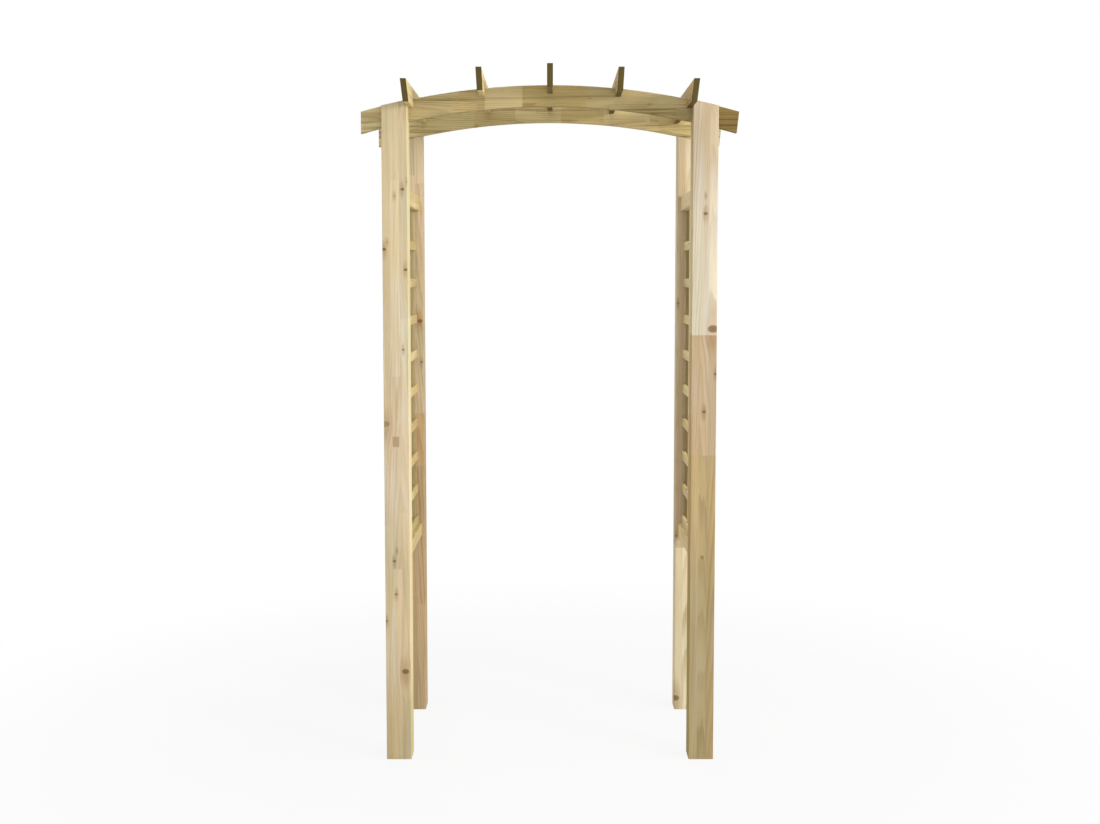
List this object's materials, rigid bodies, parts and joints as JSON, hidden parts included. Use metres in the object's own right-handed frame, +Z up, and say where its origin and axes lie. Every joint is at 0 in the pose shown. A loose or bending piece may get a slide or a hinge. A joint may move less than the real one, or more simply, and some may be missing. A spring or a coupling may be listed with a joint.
{
  "type": "trellis arch",
  "caption": "Free-standing garden arch of softwood: square posts, curved beams, upright rafters with slanted ends across the top, and a lattice in each side.",
  "frame": {"origin": "on the ground, midway between the four feet", "axes": "+Z up, +X across the passage to the right seen from the front, +Y along the way through, with the front at -Y"},
  "size_m": [1.2, 0.95, 2.2],
  "materials": {
    "post_timber": "planed softwood, pressure treated, matt",
    "beam_timber": "planed softwood, pressure treated, greener, matt",
    "rafter_timber": "planed softwood, pressure treated, greener, matt",
    "rail_timber": "planed softwood, pressure treated, matt",
    "lattice_timber": "planed softwood, pressure treated, matt"
  },
  "bodies": {
    "root": {"front_left_post": "post_timber", "front_right_post": "post_timber", "back_left_post": "post_timber", "back_right_post": "post_timber", "front_beam": "beam_timber", "back_beam": "beam_timber", "rafter_1": "rafter_timber", "rafter_2": "rafter_timber", "rafter_3": "rafter_timber", "rafter_4": "rafter_timber", "rafter_5": "rafter_timber", "left_top_rail": "rail_timber", "left_bottom_rail": "rail_timber", "left_lattice": "lattice_timber", "right_top_rail": "rail_timber", "right_bottom_rail": "rail_timber", "right_lattice": "lattice_timber"}
  },
  "joints": []
}
